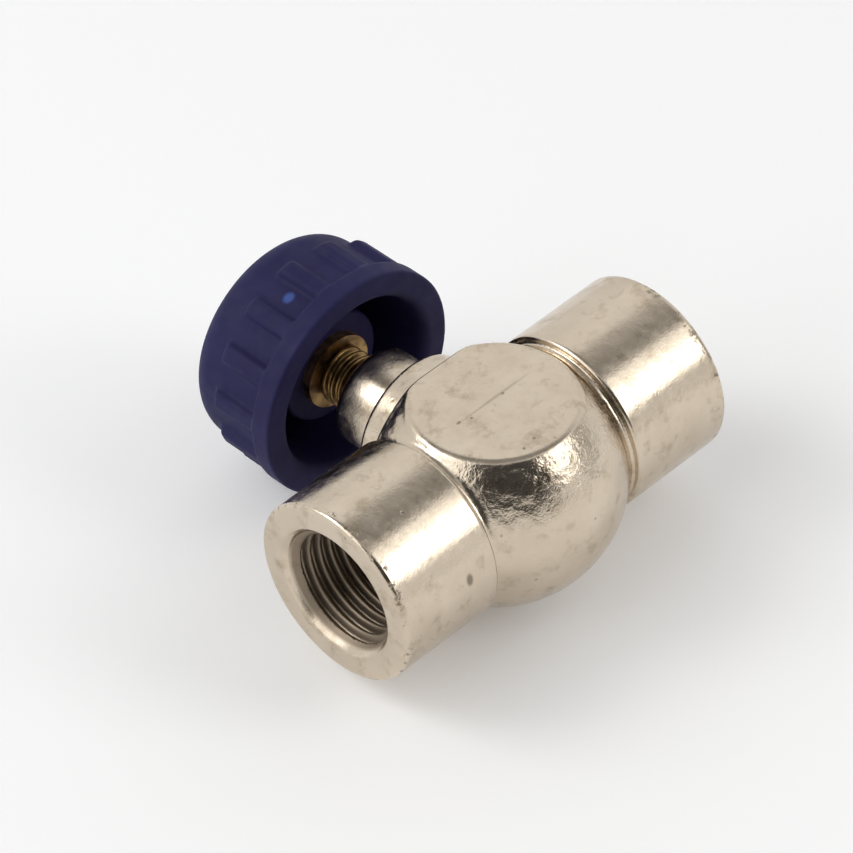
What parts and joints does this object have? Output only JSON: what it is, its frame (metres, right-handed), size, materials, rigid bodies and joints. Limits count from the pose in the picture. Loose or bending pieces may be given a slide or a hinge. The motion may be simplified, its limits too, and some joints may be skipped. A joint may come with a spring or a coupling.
{
  "type": "needle valve",
  "caption": "Small needle valve: round nickel-plated body with in-line female ports, threaded stem with a cone needle, and a ribbed cup-shaped plastic handwheel.",
  "frame": {"origin": "centre of the ball, where the port axis crosses the stem axis", "axes": "+X along the ports, +Y along the stem towards the handwheel, +Z out of the marking flat on the ball"},
  "size_m": [0.044, 0.0441, 0.0246],
  "materials": {
    "nickel_plate": "nickel plated, satin",
    "brass": "turned",
    "stainless": "ground",
    "zinc_steel": "zinc plated",
    "blue_plastic": "moulded, satin",
    "black_rubber": "smooth",
    "ptfe": "smooth"
  },
  "bodies": {
    "body": {"valve_body": "nickel_plate", "bush_gasket": "ptfe", "thread_bush": "brass"},
    "stem_seals": {"stem_o_ring_lower": "black_rubber", "stem_o_ring_upper": "black_rubber", "backup_ring": "ptfe"},
    "spindle": {"needle_stem": "brass", "needle_tip": "stainless", "handwheel": "blue_plastic", "hub_insert": "brass", "lock_washer": "zinc_steel", "handwheel_screw": "zinc_steel", "wheel_cap": "blue_plastic"}
  },
  "joints": [
    {"name": "stem_rise", "type": "slide", "parent": "body", "child": "stem_seals", "axis": [0, 1, 0], "range_m": [-0.003, 0.002]},
    {"name": "handwheel_turn", "type": "hinge", "parent": "stem_seals", "child": "spindle", "pos_m": [0, 0, 0], "axis": [0, 1, 0], "range_deg": [-1080, 720]}
  ],
  "couplings": [
    {"joint": "stem_rise", "follows": "handwheel_turn", "m_per_rad": 0.00015915}
  ]
}
